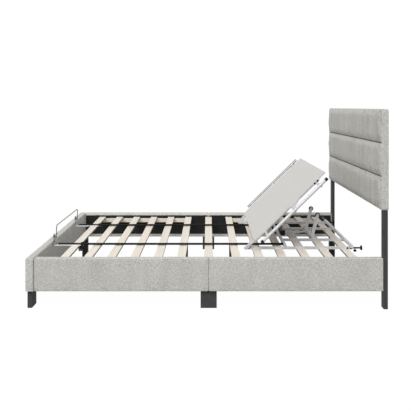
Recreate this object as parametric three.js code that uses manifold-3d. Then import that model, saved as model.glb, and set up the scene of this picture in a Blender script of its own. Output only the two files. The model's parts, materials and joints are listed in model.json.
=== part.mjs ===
// An adjustable bed base: an upholstered queen-size platform bed with a headboard, wooden slats on
// ledgers, and a powered head-lift mechanism that lies on the slats.
// X runs along the bed, head end at +X. Y runs across it and Z is up. The origin is on the floor,
// under the middle of the whole bed. Sizes are in millimetres and angles in degrees.
import * as THREE from "three";
import { mergeVertices } from "three/addons/utils/BufferGeometryUtils.js";
import Module from "manifold-3d";

const wasm = await Module();
wasm.setup();

// ---- driving dimensions of the bed --------------------------------------------------------------
const CLEARANCE = 0.3; // gap kept between pieces that touch
const INNER_LENGTH = 2040; // foot rail to headboard: an 80 in mattress with a little play
const INNER_WIDTH = 1540; // between the side rails: a 60 in mattress with a little play
const RAIL_THICKNESS = 50;
const RAIL_HEIGHT = 195.5;
const LEG_HEIGHT = 105; // floor to the underside of the rails
const RAIL_PAD = 8; // padded cover on a rail's outer face
const RAIL_TOP_WRAP = 17.5; // how far the cover folds down inside the rail
const RAIL_BOTTOM_WRAP = 23; // how far the cover folds up inside the rail
const RAIL_END_PAD = 5;
const RAIL_UNDER_HEADBOARD = 20; // side rails run this far past the headboard's front
const HEADBOARD_THICKNESS = 50;
const HEADBOARD_HEIGHT = 600;
const HEADBOARD_TOP = 1179;
const HEADBOARD_PAD = 14; // padding on the headboard's front
const HEAD_LEG_WIDTH = 55;
const HEAD_LEG_THICKNESS = 24.5;
const SPIGOT_HEIGHT = 100; // tongue of a head leg inside the headboard
const SPIGOT_SHOULDER = 3.5; // ledge round the tongue
const SPIGOT_SIDE_SHOULDER = 12;
const BLOCK_LEG_LENGTH = 96;
const BLOCK_LEG_THICKNESS = 28;
const BLOCK_LEG_INSET = 24; // from the rail's outer face
const FOOT_LEG_INSET = 7; // from the foot rail's outer face
const SLAT_COUNT = 13;
const SLAT_WIDTH = 52;
const SLAT_THICKNESS = 12;
const SLAT_DROP = 28.5; // slat top below the rail top
const SLAT_CENTRE_GAP = 167; // middle slat to its neighbours, centre to centre
const SLAT_END_GAP = 148; // centre of the last slat to the rail's end
const SLAT_SIDE_GAP = 6; // slat end to the rail's inner face
const LEDGER_HEIGHT = 30;
const LEDGER_DEPTH = 25;
const LEDGER_END_GAP = 125; // ledger end to the rail's end
const JOINT_PLATE_LENGTH = 292;
const JOINT_PLATE_HEIGHT = 65;
const JOINT_PLATE_THICKNESS = 4;
const SUPPORT_LEG_SIZE = 38;
const SUPPORT_FOOT_RADIUS = 14;
const SUPPORT_FOOT_HEIGHT = 18;

// ---- driving dimensions of the lift mechanism ---------------------------------------------------
const TUBE = 16; // square tube of the base frame
const FRAME_LENGTH = 685; // outer tubes, foot end to head end
const FRAME_TO_HEADBOARD = 84;
const CROSS_FROM_HEAD = 433; // head end of the frame to the foot cross tube's foot side
const INNER_TUBE_Y = 200;
const WING_TO_RAIL = 85; // wing tube's centre line to the side rail's inner face
const BOARD_TO_WING = 152; // head board's edge to the wing tube's centre line
const TUBE_TO_BOARD_EDGE = 83; // outer frame tube's centre line in from the head board's edge
const HEAD_TUBE_OVERHANG = 30; // head cross tube past the outer tubes
const PANEL_ANGLE = 44.3; // how far the head panel is raised
const FRAME_PAST_SLAT = 69; // outer tube's foot end past the middle of the slat under it
const HINGE_FROM_FRAME_END = 31;
const HINGE_ABOVE_SLATS = 43;
const HINGE_PIN_RADIUS = 4;
const HINGE_CLEARANCE = 0.6;
const HINGE_EAR_RADIUS = 10;
const HINGE_EAR_THICKNESS = 12;
const BOARD_LENGTH = 624.5;
const BOARD_THICKNESS = 10;
const BOARD_CORNER = 12;
const BOARD_FROM_HINGE = 31.4;
const PANEL_RAIL_HEIGHT = 16;
const PANEL_RAIL_THICKNESS = 14;
const PANEL_RAIL_LENGTH = 560; // along the board
const PANEL_RAIL_GAP = 3; // beside the outer frame tube
const TAIL_LENGTH = 56; // the panel rail's end beyond the hinge
const TAIL_HALF_HEIGHT = 9;
const STRAP_WIDTH = 30;
const STRAP_THICKNESS = 4;
const STRAP_PLACES = [91, 320, 539]; // from the board's foot edge
const WING_ARM = 14; // square section of the arms that carry the wing tubes
const WING_RADIUS = 9.5;
const WING_WALL = 2;
const WING_START = 43; // from the board's foot edge
const WING_LENGTH = 552;
const CRANK_FROM_HEAD = 209; // crank axis to the head end of the frame
const CRANK_ABOVE_SLATS = 18.5;
const CRANK_ANGLE = 75.4;
const CRANK_ARM = 154.5;
const CRANK_ARM_Y = 140;
const CRANK_ARM_THICKNESS = 16;
const CRANK_ARM_RADIUS = 11;
const TORQUE_RADIUS = 9;
const TORQUE_END_GAP = 2; // torque tube's end to the lug beside it
const TORQUE_BORE_DEPTH = 26;
const TORQUE_CORE_RADIUS = 4;
const TORQUE_CORE_HALF = 12; // half the length of the slim middle
const CRANK_STUD_RADIUS = 5;
const LUG_THICKNESS = 6;
const ROLLER_RADIUS = 17;
const ROLLER_WIDTH = 7.4;
const ROLLER_AXLE_RADIUS = 3.5;
const ROLLER_SLOT = 8;
const RUNNING_CLEARANCE = 0.6;
const HORN_LENGTH = 16.9;
const HORN_ANGLE = 70.4; // from the crank arms
const HORN_RADIUS = 6;
const HORN_HALF_THICKNESS = 3;
const ROD_RADIUS = 7;
const ROD_FORK_GAP = 5; // fork prong's inner face from the middle
const ROD_FORK_THICKNESS = 4;
const ROD_FORK_LENGTH = 16;
const ROD_HIDDEN_LENGTH = 40; // rod inside the actuator's tube
const ACTUATOR_TUBE_RADIUS = 11;
const ACTUATOR_TUBE_LENGTH = 104;
const ACTUATOR_BORE_DEPTH = 78;
const ACTUATOR_BORE_CLEARANCE = 0.8;
const GEARBOX_LENGTH = 36;
const GEARBOX_HALF_WIDTH = 22;
const GEARBOX_HEIGHT = 34;
const MOTOR_RADIUS = 16;
const MOTOR_LENGTH = 96;
const ABOVE_SLATS = 2; // gap under the actuator
const ACTUATOR_RISE = 18; // actuator axis above the slats where its tube leaves the gearbox
const BAR_RADIUS = 7;
const BAR_FROM_TUBE = 110; // extension bar's centre line in from the outer frame tube
const BAR_COLLAR_RADIUS = 10;
const BAR_COLLAR_LENGTH = 12;
const BAR_START = 34; // foot rail's inner face to the bar's end
const CHANNEL_WALL = 2.5;
const CHANNEL_HEIGHT = 7;
const CHANNEL_BAR_GAP = 0.5;
const STOP_FROM_FOOT_RAIL = 2;
const POST_DEPTH = 16;
const POST_HEIGHT = 82; // from the slats
const WIRE_RADIUS = 3.5;
const WIRE_TOP = 133; // centre of the wire above the slats
const WIRE_BOTTOM = 46;
const WIRE_BEND = 22;
const KNOB_RADIUS = 13;
const KNOB_HEIGHT = 20;
const KNOB_SLAT_GAP = 1;
const KNOB_STEM_RADIUS = 4;
const KNOB_STEM_CLEARANCE = 0.6;
const BUMPER_STEM_RADIUS = 5;
const BUMPER_STEM_LENGTH = 55;
const BUMPER_DISC_RADIUS = 15;
const BUMPER_DISC_THICKNESS = 8;

// ---- places worked out from the driving dimensions ----------------------------------------------
const LENGTH = RAIL_THICKNESS + INNER_LENGTH + HEADBOARD_THICKNESS;
const FOOT_OUT = -LENGTH / 2;
const FOOT_IN = FOOT_OUT + RAIL_THICKNESS;
const HEAD_IN = LENGTH / 2 - HEADBOARD_THICKNESS;
const HEAD_OUT = LENGTH / 2;
const SIDE_IN = INNER_WIDTH / 2;
const SIDE_OUT = SIDE_IN + RAIL_THICKNESS;
const RAIL_END = HEAD_IN + RAIL_UNDER_HEADBOARD;
const RAIL_MIDDLE = (FOOT_IN + RAIL_END) / 2;
const RAIL_TOP = LEG_HEIGHT + RAIL_HEIGHT;
const SLAT_TOP = RAIL_TOP - SLAT_DROP;
const SLAT_BOTTOM = SLAT_TOP - SLAT_THICKNESS;
const SLAT_STEPS = (SLAT_COUNT - 1) / 2;
const SLAT_HALF_RUN = (RAIL_END - FOOT_IN) / 2 - SLAT_END_GAP;
const SLAT_PITCH = (SLAT_HALF_RUN - SLAT_CENTRE_GAP) / (SLAT_STEPS - 1);
const HEADBOARD_BOTTOM = HEADBOARD_TOP - HEADBOARD_HEIGHT;
const WING_Y = SIDE_IN - WING_TO_RAIL;
const BOARD_HALF = WING_Y - BOARD_TO_WING;
const OUTER_TUBE_Y = BOARD_HALF - TUBE_TO_BOARD_EDGE;
const BAR_Y = OUTER_TUBE_Y - BAR_FROM_TUBE;
const FRAME_HEAD = HEAD_IN - FRAME_TO_HEADBOARD;
const FRAME_FOOT = FRAME_HEAD - FRAME_LENGTH;
const OUTER_TUBE_FOOT = Math.min(FRAME_FOOT, slatX(2) - FRAME_PAST_SLAT);
const CROSS_X = FRAME_HEAD - CROSS_FROM_HEAD;
const FRAME_BOTTOM = SLAT_TOP + CLEARANCE;
const FRAME_TOP = FRAME_BOTTOM + TUBE;
const HINGE_X = FRAME_FOOT + HINGE_FROM_FRAME_END;
const HINGE_Z = SLAT_TOP + HINGE_ABOVE_SLATS;
const CRANK_X = FRAME_HEAD - CRANK_FROM_HEAD;
const CRANK_Z = SLAT_TOP + CRANK_ABOVE_SLATS;
const PANEL_RAIL_Y = OUTER_TUBE_Y + TUBE / 2 + PANEL_RAIL_GAP;
const CHANNEL_HALF = BAR_RADIUS + CHANNEL_BAR_GAP + CHANNEL_WALL;
const BAR_Z = SLAT_TOP + CLEARANCE + CHANNEL_WALL + CHANNEL_BAR_GAP + BAR_RADIUS;
const POST_X = FOOT_IN + STOP_FROM_FOOT_RAIL;
const KNOB_X = slatX(-SLAT_STEPS) + SLAT_WIDTH / 2 + KNOB_SLAT_GAP + KNOB_RADIUS;
const CHANNEL_END = KNOB_X + KNOB_RADIUS;
const GEARBOX_X = CROSS_X + TUBE + CLEARANCE;

const SIDES = [
  ["near", -1],
  ["far", 1],
];

// ---- materials ----------------------------------------------------------------------------------
function finish(color, roughness, metalness = 0) {
  return new THREE.MeshStandardMaterial({ color, roughness, metalness });
}

const linen = finish("#b9b8b3", 0.95);
const lining = finish("#232323", 0.9);
const birch = finish("#e6dccb", 0.6);
const blackBlock = finish("#3a3a3a", 0.6);
const blackSteel = finish("#1f1f20", 0.5, 0.3);
const silverSteel = finish("#cfcfd1", 0.35, 0.6);
const blackPlastic = finish("#161616", 0.55);
const boardGrey = finish("#d0cfcc", 0.7);

// ---- geometry helpers ---------------------------------------------------------------------------
// Number of a slat's place along the bed, counted from the middle slat.
function slatX(step) {
  if (step === 0) return RAIL_MIDDLE;
  const offset = SLAT_CENTRE_GAP + SLAT_PITCH * (Math.abs(step) - 1);
  return RAIL_MIDDLE + Math.sign(step) * offset;
}

// A box between two corners.
function block(x0, x1, y0, y1, z0, z1) {
  const geometry = new THREE.BoxGeometry(x1 - x0, y1 - y0, z1 - z0);
  return geometry.translate((x0 + x1) / 2, (y0 + y1) / 2, (z0 + z1) / 2);
}

// A box on one side of the bed: y0 and y1 are distances out from the middle.
function sideBlock(side, x0, x1, y0, y1, z0, z1) {
  return side > 0 ? block(x0, x1, y0, y1, z0, z1) : block(x0, x1, -y1, -y0, z0, z1);
}

// A cylinder whose axis runs along Y from y0 to y1, through (x, z).
function crossCylinder(radius, y0, y1, x = 0, z = 0, sides = 24) {
  const geometry = new THREE.CylinderGeometry(radius, radius, Math.abs(y1 - y0), sides);
  return geometry.translate(x, (y0 + y1) / 2, z);
}

// A cylinder whose axis runs along X from x0 to x1, through (y, z).
function longCylinder(radius, x0, x1, y = 0, z = 0, sides = 24) {
  const geometry = new THREE.CylinderGeometry(radius, radius, x1 - x0, sides);
  return geometry.rotateZ(Math.PI / 2).translate((x0 + x1) / 2, y, z);
}

// An upright cylinder from z0 to z1, through (x, y).
function uprightCylinder(radius, z0, z1, x = 0, y = 0, sides = 24) {
  const geometry = new THREE.CylinderGeometry(radius, radius, z1 - z0, sides);
  return geometry.rotateX(Math.PI / 2).translate(x, y, (z0 + z1) / 2);
}

// A flat outline drawn in X and Z, given thickness along Y from y0 to y1.
function crossPlate(shape, y0, y1) {
  const options = { depth: y1 - y0, bevelEnabled: false, curveSegments: 8 };
  return new THREE.ExtrudeGeometry(shape, options).rotateX(Math.PI / 2).translate(0, y1, 0);
}

// The outline of a link with round ends, from the origin to a point at this distance and angle.
function linkShape(length, angle, startRadius, endRadius) {
  const a = THREE.MathUtils.degToRad(angle);
  const shape = new THREE.Shape();
  shape.absarc(0, 0, startRadius, a + Math.PI / 2, a + (3 * Math.PI) / 2, false);
  const quarter = Math.PI / 2;
  shape.absarc(length * Math.cos(a), length * Math.sin(a), endRadius, a - quarter, a + quarter, false);
  shape.closePath();
  return shape;
}

function toSolid(geometry) {
  const bare = geometry.index ? geometry.toNonIndexed() : geometry.clone();
  bare.deleteAttribute("normal");
  bare.deleteAttribute("uv");
  const merged = mergeVertices(bare, 1e-3);
  const vertProperties = merged.attributes.position.array;
  const triVerts = new Uint32Array(merged.index.array);
  return new wasm.Manifold(new wasm.Mesh({ numProp: 3, vertProperties, triVerts }));
}

function toGeometry(solid) {
  const mesh = solid.getMesh();
  const geometry = new THREE.BufferGeometry();
  geometry.setAttribute("position", new THREE.BufferAttribute(new Float32Array(mesh.vertProperties), 3));
  geometry.setIndex(new THREE.BufferAttribute(new Uint32Array(mesh.triVerts), 1));
  const flat = geometry.toNonIndexed();
  flat.computeVertexNormals();
  return flat;
}

function join(geometries) {
  return toGeometry(geometries.map(toSolid).reduce((a, b) => a.add(b)));
}

function cut(geometry, tools) {
  return toGeometry(tools.map(toSolid).reduce((a, b) => a.subtract(b), toSolid(geometry)));
}

function place(parent, name, geometry, material) {
  const mesh = new THREE.Mesh(geometry, material);
  mesh.name = name;
  parent.add(mesh);
  return mesh;
}

// ---- the bed ------------------------------------------------------------------------------------
// A side rail is in two halves that meet at the middle. Each is a board with black lining on its
// inner face, and a padded cover folded round its top, bottom, ends and outer face.
function sideRailHalf(parent, name, side, x0, x1) {
  const pad = RAIL_END_PAD;
  const boardTop = RAIL_TOP - RAIL_TOP_WRAP;
  const boardBottom = LEG_HEIGHT + RAIL_BOTTOM_WRAP;
  const boardOut = SIDE_OUT - RAIL_PAD;
  const g = CLEARANCE;
  const outside = sideBlock(side, x0, x1, SIDE_IN, SIDE_OUT, LEG_HEIGHT, RAIL_TOP);
  const pocket = sideBlock(side, x0 + pad, x1 - pad, SIDE_IN - 1, boardOut, boardBottom, boardTop);
  place(parent, "rail_cover_" + name, cut(outside, [pocket]), linen);
  const ends = [x0 + pad + g, x1 - pad - g];
  const board = sideBlock(side, ...ends, SIDE_IN, boardOut - g, boardBottom + g, boardTop - g);
  place(parent, "rail_board_" + name, board, lining);
}

function footRail(parent) {
  const pad = RAIL_PAD;
  const g = CLEARANCE;
  const outside = block(FOOT_OUT, FOOT_IN, -SIDE_OUT, SIDE_OUT, LEG_HEIGHT, RAIL_TOP);
  const y = SIDE_OUT - pad;
  const pocket = block(FOOT_OUT + pad, FOOT_IN - pad, -y, y, LEG_HEIGHT - 1, RAIL_TOP - pad);
  place(parent, "rail_cover_foot", cut(outside, [pocket]), linen);
  const board = block(FOOT_OUT + pad + g, FOOT_IN - pad - g, -y + g, y - g, LEG_HEIGHT, RAIL_TOP - pad - g);
  place(parent, "rail_board_foot", board, lining);
}

// The boxes of the two leg tongues that stand in the headboard, grown by a gap.
function spigots(gap) {
  const back = HEAD_IN + RAIL_UNDER_HEADBOARD + HEAD_LEG_THICKNESS;
  return SIDES.map(([, side]) =>
    sideBlock(
      side,
      back - HEAD_LEG_THICKNESS + SPIGOT_SHOULDER - gap,
      back - SPIGOT_SHOULDER + gap,
      SIDE_OUT - HEAD_LEG_WIDTH + SPIGOT_SHOULDER - gap,
      SIDE_OUT - SPIGOT_SIDE_SHOULDER + gap,
      HEADBOARD_BOTTOM - 2,
      HEADBOARD_BOTTOM + SPIGOT_HEIGHT + gap,
    ),
  );
}

function headboard(parent) {
  const g = CLEARANCE;
  const front = HEAD_IN + HEADBOARD_PAD;
  const y = SIDE_OUT - RAIL_PAD;
  const z0 = HEADBOARD_BOTTOM + RAIL_PAD;
  const z1 = HEADBOARD_TOP - RAIL_PAD;
  const outside = block(HEAD_IN, HEAD_OUT, -SIDE_OUT, SIDE_OUT, HEADBOARD_BOTTOM, HEADBOARD_TOP);
  const pocket = block(front, HEAD_OUT + 1, -y, y, z0, z1);
  place(parent, "headboard_cover", cut(outside, [pocket, ...spigots(g)]), linen);
  const board = block(front + g, HEAD_OUT, -y + g, y - g, z0 + g, z1 - g);
  place(parent, "headboard_board", cut(board, spigots(g)), lining);
}

function headLegs(parent) {
  const tongues = spigots(0);
  SIDES.forEach(([label, side], i) => {
    const x0 = RAIL_END;
    const x1 = RAIL_END + HEAD_LEG_THICKNESS;
    const top = HEADBOARD_BOTTOM - CLEARANCE;
    const post = sideBlock(side, x0, x1, SIDE_OUT - HEAD_LEG_WIDTH, SIDE_OUT, 0, top);
    place(parent, "head_leg_" + label, join([post, tongues[i]]), blackSteel);
  });
}

function blockLegs(parent) {
  const top = LEG_HEIGHT - CLEARANCE;
  const out = SIDE_OUT - BLOCK_LEG_INSET;
  const half = BLOCK_LEG_LENGTH / 2;
  const footX = FOOT_OUT + FOOT_LEG_INSET;
  for (const [label, side] of SIDES) {
    const inner = out - BLOCK_LEG_THICKNESS;
    const centre = sideBlock(side, RAIL_MIDDLE - half, RAIL_MIDDLE + half, inner, out, 0, top);
    place(parent, "centre_leg_" + label, centre, blackBlock);
    const corner = sideBlock(side, footX, footX + BLOCK_LEG_THICKNESS, out - BLOCK_LEG_LENGTH, out, 0, top);
    place(parent, "foot_leg_" + label, corner, blackBlock);
  }
}

function ledgersAndPlates(parent) {
  const top = SLAT_BOTTOM - CLEARANCE;
  const half = JOINT_PLATE_LENGTH / 2;
  const out = SIDE_IN - CLEARANCE;
  const spans = [
    ["foot", FOOT_IN + LEDGER_END_GAP, RAIL_MIDDLE - half - 1],
    ["head", RAIL_MIDDLE + half + 1, RAIL_END - LEDGER_END_GAP],
  ];
  for (const [label, side] of SIDES) {
    for (const [end, x0, x1] of spans) {
      const ledger = sideBlock(side, x0, x1, out - LEDGER_DEPTH, out, top - LEDGER_HEIGHT, top);
      place(parent, "ledger_" + label + "_" + end, ledger, birch);
    }
    const z1 = SLAT_TOP + 1;
    const plate = sideBlock(
      side,
      RAIL_MIDDLE - half,
      RAIL_MIDDLE + half,
      out - JOINT_PLATE_THICKNESS,
      out,
      z1 - JOINT_PLATE_HEIGHT,
      z1,
    );
    place(parent, "joint_plate_" + label, plate, blackSteel);
  }
}

function slats(parent) {
  const y = SIDE_IN - SLAT_SIDE_GAP;
  for (let i = 0; i < SLAT_COUNT; i++) {
    const x = slatX(i - SLAT_STEPS);
    const slat = block(x - SLAT_WIDTH / 2, x + SLAT_WIDTH / 2, -y, y, SLAT_BOTTOM, SLAT_TOP);
    place(parent, "slat_" + String(i + 1).padStart(2, "0"), slat, birch);
  }
}

// Middle support legs stand under four of the slats.
function supportLegs(parent) {
  const half = SUPPORT_LEG_SIZE / 2;
  const top = SLAT_BOTTOM - CLEARANCE;
  [-SLAT_STEPS, -1, 1, SLAT_STEPS].forEach((step, i) => {
    const x = slatX(step);
    const post = block(x - half, x + half, -half, half, SUPPORT_FOOT_HEIGHT - 2, top);
    const foot = uprightCylinder(SUPPORT_FOOT_RADIUS, 0, SUPPORT_FOOT_HEIGHT, x, 0);
    place(parent, "support_leg_" + (i + 1), join([post, foot]), blackSteel);
  });
}

// ---- the lift mechanism -------------------------------------------------------------------------
// The welded base frame: four long tubes, a cross tube near the foot and one on top at the head,
// with the ears and pins of the panel hinge and the lugs and studs of the crank.
function baseFrame(parent) {
  const half = TUBE / 2;
  const pieces = [
    block(CROSS_X, CROSS_X + TUBE, -OUTER_TUBE_Y, OUTER_TUBE_Y, FRAME_BOTTOM, FRAME_TOP),
    block(
      FRAME_HEAD - TUBE,
      FRAME_HEAD,
      -OUTER_TUBE_Y - HEAD_TUBE_OVERHANG,
      OUTER_TUBE_Y + HEAD_TUBE_OVERHANG,
      FRAME_TOP - 1,
      FRAME_TOP - 1 + TUBE,
    ),
  ];
  for (const [, side] of SIDES) {
    const tube = (y, x0) => sideBlock(side, x0, FRAME_HEAD, y - half, y + half, FRAME_BOTTOM, FRAME_TOP);
    pieces.push(tube(OUTER_TUBE_Y, OUTER_TUBE_FOOT));
    pieces.push(tube(INNER_TUBE_Y, CROSS_X));
    pieces.push(hingeEar(side));
    const pinEnd = side * hingePinEnd();
    pieces.push(crossCylinder(HINGE_PIN_RADIUS, side * OUTER_TUBE_Y, pinEnd, HINGE_X, HINGE_Z, 16));
    const lugIn = INNER_TUBE_Y - half - LUG_THICKNESS;
    const lugTop = CRANK_Z + CRANK_ARM_RADIUS;
    const lugHalf = CRANK_ARM_RADIUS;
    pieces.push(
      sideBlock(side, CRANK_X - lugHalf, CRANK_X + lugHalf, lugIn, INNER_TUBE_Y, FRAME_BOTTOM + 2, lugTop),
    );
    const studEnd = lugIn - TORQUE_BORE_DEPTH;
    pieces.push(crossCylinder(CRANK_STUD_RADIUS, side * studEnd, side * (lugIn + 1), CRANK_X, CRANK_Z, 16));
  }
  place(parent, "base_frame", join(pieces), silverSteel);
}

function hingePinEnd() {
  return PANEL_RAIL_Y + PANEL_RAIL_THICKNESS + 3;
}

function hingeEar(side) {
  const shape = linkShape(HINGE_ABOVE_SLATS - TUBE / 2, -90, HINGE_EAR_RADIUS, HINGE_EAR_RADIUS - 2);
  const y = OUTER_TUBE_Y * side;
  const ear = crossPlate(shape, y - HINGE_EAR_THICKNESS / 2, y + HINGE_EAR_THICKNESS / 2);
  return ear.translate(HINGE_X, 0, HINGE_Z);
}

// Black extension bars plug into the foot cross tube and carry the foot stop.
function extensionBars(parent) {
  const x1 = CROSS_X - CLEARANCE;
  for (const [label, side] of SIDES) {
    const y = side * BAR_Y;
    const bar = longCylinder(BAR_RADIUS, FOOT_IN + BAR_START, x1, y, BAR_Z, 16);
    const collar = longCylinder(BAR_COLLAR_RADIUS, x1 - BAR_COLLAR_LENGTH, x1, y, BAR_Z, 16);
    place(parent, "extension_bar_" + label, join([bar, collar]), blackSteel);
  }
}

// The foot stop: two brackets that slide on the bars, each an upward channel with a post, and a
// bent wire between the posts that keeps the mattress from sliding off.
function footStop(parent) {
  const bottom = SLAT_TOP + CLEARANCE;
  for (const [label, side] of SIDES) {
    const y = side * BAR_Y;
    const half = CHANNEL_HALF;
    const inner = half - CHANNEL_WALL;
    const channel = block(POST_X, CHANNEL_END, y - half, y + half, bottom, bottom + CHANNEL_HEIGHT);
    const postEnd = POST_X + POST_DEPTH;
    const roundHeight = SLAT_TOP + POST_HEIGHT - half;
    const post = block(POST_X, postEnd, y - half, y + half, bottom, roundHeight);
    const postTop = longCylinder(half, POST_X, postEnd, y, roundHeight);
    const slotFloor = bottom + CHANNEL_WALL;
    const slotTop = bottom + CHANNEL_HEIGHT + 1;
    const slot = block(postEnd, CHANNEL_END + 1, y - inner, y + inner, slotFloor, slotTop);
    const holeRadius = KNOB_STEM_RADIUS + KNOB_STEM_CLEARANCE;
    const hole = uprightCylinder(holeRadius, bottom - 1, slotFloor + 1, KNOB_X, y, 16);
    const barHole = longCylinder(BAR_RADIUS + CHANNEL_BAR_GAP, POST_X - 1, postEnd + 1, y, BAR_Z);
    const bracket = cut(join([channel, post, postTop]), [slot, hole, barHole]);
    place(parent, "stop_bracket_" + label, bracket, silverSteel);
    lockKnob(parent, label, y, bottom);
  }
  place(parent, "retainer_wire", retainerWire(), silverSteel);
}

function lockKnob(parent, label, y, channelBottom) {
  const top = channelBottom - KNOB_STEM_CLEARANCE;
  const grip = uprightCylinder(KNOB_RADIUS, top - KNOB_HEIGHT, top, KNOB_X, y);
  const stemTop = BAR_Z - BAR_RADIUS - CLEARANCE;
  const stem = uprightCylinder(KNOB_STEM_RADIUS, top - 2, stemTop, KNOB_X, y, 16);
  place(parent, "lock_knob_" + label, join([grip, stem]), blackPlastic);
}

function retainerWire() {
  const x = POST_X + POST_DEPTH + CLEARANCE + WIRE_RADIUS;
  const low = SLAT_TOP + WIRE_BOTTOM;
  const high = SLAT_TOP + WIRE_TOP;
  const b = WIRE_BEND;
  const v = (y, z) => new THREE.Vector3(x, y, z);
  const path = new THREE.CurvePath();
  path.add(new THREE.LineCurve3(v(-BAR_Y, low), v(-BAR_Y, high - b)));
  path.add(new THREE.QuadraticBezierCurve3(v(-BAR_Y, high - b), v(-BAR_Y, high), v(-BAR_Y + b, high)));
  path.add(new THREE.LineCurve3(v(-BAR_Y + b, high), v(BAR_Y - b, high)));
  path.add(new THREE.QuadraticBezierCurve3(v(BAR_Y - b, high), v(BAR_Y, high), v(BAR_Y, high - b)));
  path.add(new THREE.LineCurve3(v(BAR_Y, high - b), v(BAR_Y, low)));
  const section = new THREE.Shape();
  section.absarc(0, 0, WIRE_RADIUS, 0, 2 * Math.PI, false);
  const settings = { steps: 80, extrudePath: path, curveSegments: 4, bevelEnabled: false };
  return new THREE.ExtrudeGeometry(section, settings);
}

// The head panel turns about the hinge pins. In its own group X runs up the panel from the hinge
// and Z stands out of its top, so the board's underside lies on the hinge axis.
function headPanel(parent) {
  const panel = new THREE.Group();
  panel.position.set(HINGE_X, 0, HINGE_Z);
  panel.rotation.y = -THREE.MathUtils.degToRad(PANEL_ANGLE);
  parent.add(panel);
  place(panel, "head_board", headBoardPanel(), boardGrey);
  place(panel, "panel_frame", panelFrame(), silverSteel);
}

function headBoardPanel() {
  const x0 = BOARD_FROM_HINGE;
  const x1 = x0 + BOARD_LENGTH;
  const r = BOARD_CORNER;
  const shape = new THREE.Shape();
  shape.absarc(x1 - r, BOARD_HALF - r, r, 0, Math.PI / 2, false);
  shape.absarc(x0 + r, BOARD_HALF - r, r, Math.PI / 2, Math.PI, false);
  shape.absarc(x0 + r, r - BOARD_HALF, r, Math.PI, (3 * Math.PI) / 2, false);
  shape.absarc(x1 - r, r - BOARD_HALF, r, (3 * Math.PI) / 2, 2 * Math.PI, false);
  return new THREE.ExtrudeGeometry(shape, { depth: BOARD_THICKNESS, bevelEnabled: false, curveSegments: 4 });
}

function panelFrame() {
  const top = -CLEARANCE;
  const pieces = [];
  const bores = [];
  const railIn = PANEL_RAIL_Y;
  const railOut = PANEL_RAIL_Y + PANEL_RAIL_THICKNESS;
  for (const [, side] of SIDES) {
    const [y0, y1] = side > 0 ? [railIn, railOut] : [-railOut, -railIn];
    pieces.push(crossPlate(panelRailShape(top), y0, y1));
    bores.push(crossCylinder(HINGE_PIN_RADIUS + HINGE_CLEARANCE, y0 - 1, y1 + 1, 0, 0, 16));
    const wingX = BOARD_FROM_HINGE + WING_START;
    pieces.push(longCylinder(WING_RADIUS, wingX, wingX + WING_LENGTH, side * WING_Y, 0));
    const bore = WING_RADIUS - WING_WALL;
    bores.push(longCylinder(bore, wingX - 1, wingX + WING_LENGTH + 1, side * WING_Y, 0));
  }
  for (const along of STRAP_PLACES) {
    const x = BOARD_FROM_HINGE + along;
    const half = STRAP_WIDTH / 2;
    pieces.push(block(x - half, x + half, -railOut + 1, railOut - 1, top - STRAP_THICKNESS, top));
    for (const [, side] of SIDES) {
      const arm = sideBlock(
        side,
        x - WING_ARM / 2,
        x + WING_ARM / 2,
        railOut - 2,
        WING_Y,
        top - WING_ARM,
        top,
      );
      pieces.push(arm);
    }
  }
  return cut(join(pieces), bores);
}

// A panel rail from the side: a bar under the board that steps up to the hinge and ends in a tail.
function panelRailShape(top) {
  const end = BOARD_FROM_HINGE + PANEL_RAIL_LENGTH;
  const step = BOARD_FROM_HINGE - 4;
  const low = top - PANEL_RAIL_HEIGHT;
  const shape = new THREE.Shape();
  shape.moveTo(-TAIL_LENGTH, -TAIL_HALF_HEIGHT);
  shape.lineTo(step - 14, -TAIL_HALF_HEIGHT);
  shape.lineTo(step, low);
  shape.lineTo(end, low);
  shape.lineTo(end, top);
  shape.lineTo(step, top);
  shape.lineTo(step, TAIL_HALF_HEIGHT);
  shape.lineTo(-TAIL_LENGTH, TAIL_HALF_HEIGHT);
  shape.closePath();
  return shape;
}

// The lift crank turns on the studs of the base frame. In its own group X runs along the arms.
function liftCrank(parent) {
  const crank = new THREE.Group();
  crank.position.set(CRANK_X, 0, CRANK_Z);
  crank.rotation.y = -THREE.MathUtils.degToRad(CRANK_ANGLE);
  parent.add(crank);
  place(crank, "lift_crank", crankBody(), silverSteel);
  for (const [label, side] of SIDES) {
    place(crank, "roller_" + label, roller(side), blackPlastic);
  }
}

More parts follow.
